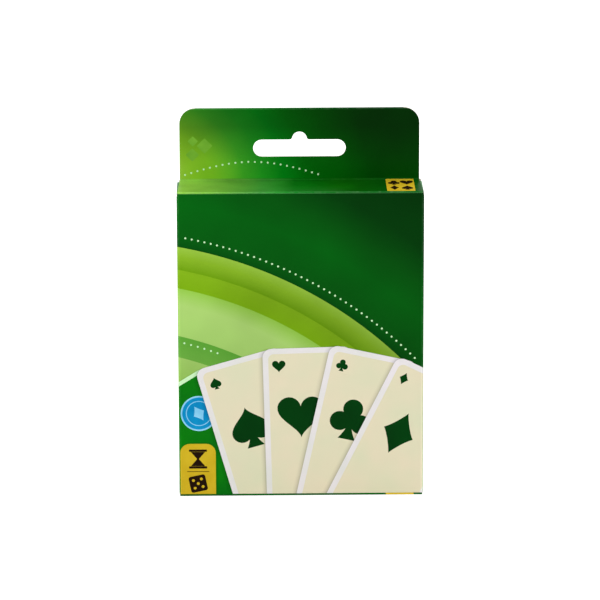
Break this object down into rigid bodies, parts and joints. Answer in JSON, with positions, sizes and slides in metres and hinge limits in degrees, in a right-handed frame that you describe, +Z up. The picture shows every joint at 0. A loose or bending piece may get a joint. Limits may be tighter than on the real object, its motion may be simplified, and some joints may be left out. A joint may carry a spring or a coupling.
{
  "type": "card game box",
  "caption": "Tall folding carton with a hang tab and tuck-in lid and base, holding banded decks of playing cards and a folded rules leaflet.",
  "frame": {"origin": "middle of the foot that the closed box stands on", "axes": "+X to the right of the printed face, +Y to the back, +Z up through the hang tab"},
  "size_m": [0.092, 0.022, 0.1452],
  "materials": {
    "printed_board": "gloss varnished print",
    "lid_board": "gloss varnished print",
    "plain_board": "uncoated",
    "card_stock": "linen coated",
    "band_paper": "uncoated",
    "leaflet_paper": "uncoated"
  },
  "bodies": {
    "carton": {"front_panel": "printed_board", "back_panel": "printed_board", "hang_tab_front": "lid_board", "left_side_panel": "printed_board", "right_side_panel": "printed_board", "seam_flap": "plain_board", "deck_upper": "card_stock", "deck_lower": "card_stock", "deck_band_upper": "band_paper", "deck_band_lower": "band_paper", "rules_leaflet": "leaflet_paper"},
    "lid": {"lid_panel": "lid_board"},
    "lid_tuck": {"lid_tuck_flap": "printed_board"},
    "lid_dust_left": {"lid_dust_flap_left": "plain_board"},
    "lid_dust_right": {"lid_dust_flap_right": "plain_board"},
    "base": {"base_panel": "printed_board"},
    "base_tuck": {"base_tuck_flap": "printed_board"},
    "base_dust_left": {"base_dust_flap_left": "plain_board"},
    "base_dust_right": {"base_dust_flap_right": "plain_board"}
  },
  "joints": [
    {"name": "lid_hinge", "type": "hinge", "parent": "carton", "child": "lid", "pos_m": [0, 0.0101, 0.1176], "axis": [-1, 0, 0], "range_deg": [0, 85]},
    {"name": "lid_tuck_crease", "type": "hinge", "parent": "lid", "child": "lid_tuck", "pos_m": [0, -0.0098, 0.11715], "axis": [1, 0, 0], "range_deg": [0, 48]},
    {"name": "lid_dust_crease_left", "type": "hinge", "parent": "carton", "child": "lid_dust_left", "pos_m": [-0.046, 0, 0.11705], "axis": [0, -1, 0], "range_deg": [0, 26]},
    {"name": "lid_dust_crease_right", "type": "hinge", "parent": "carton", "child": "lid_dust_right", "pos_m": [0.046, 0, 0.11705], "axis": [0, 1, 0], "range_deg": [0, 26]},
    {"name": "base_hinge", "type": "hinge", "parent": "carton", "child": "base", "pos_m": [0, -0.011, 0], "axis": [-1, 0, 0], "range_deg": [0, 110]},
    {"name": "base_tuck_crease", "type": "hinge", "parent": "base", "child": "base_tuck", "pos_m": [0, 0.0098, 0.00045], "axis": [1, 0, 0], "range_deg": [0, 62]},
    {"name": "base_dust_crease_left", "type": "hinge", "parent": "carton", "child": "base_dust_left", "pos_m": [-0.046, 0, 0.00055], "axis": [0, 1, 0], "range_deg": [0, 34]},
    {"name": "base_dust_crease_right", "type": "hinge", "parent": "carton", "child": "base_dust_right", "pos_m": [0.046, 0, 0.00055], "axis": [0, -1, 0], "range_deg": [0, 34]}
  ],
  "couplings": [
    {"joint": "lid_tuck_crease", "follows": "lid_hinge", "ratio": 0.55},
    {"joint": "lid_dust_crease_left", "follows": "lid_hinge", "ratio": 0.3},
    {"joint": "lid_dust_crease_right", "follows": "lid_hinge", "ratio": 0.3},
    {"joint": "base_tuck_crease", "follows": "base_hinge", "ratio": 0.55},
    {"joint": "base_dust_crease_left", "follows": "base_hinge", "ratio": 0.3},
    {"joint": "base_dust_crease_right", "follows": "base_hinge", "ratio": 0.3}
  ]
}
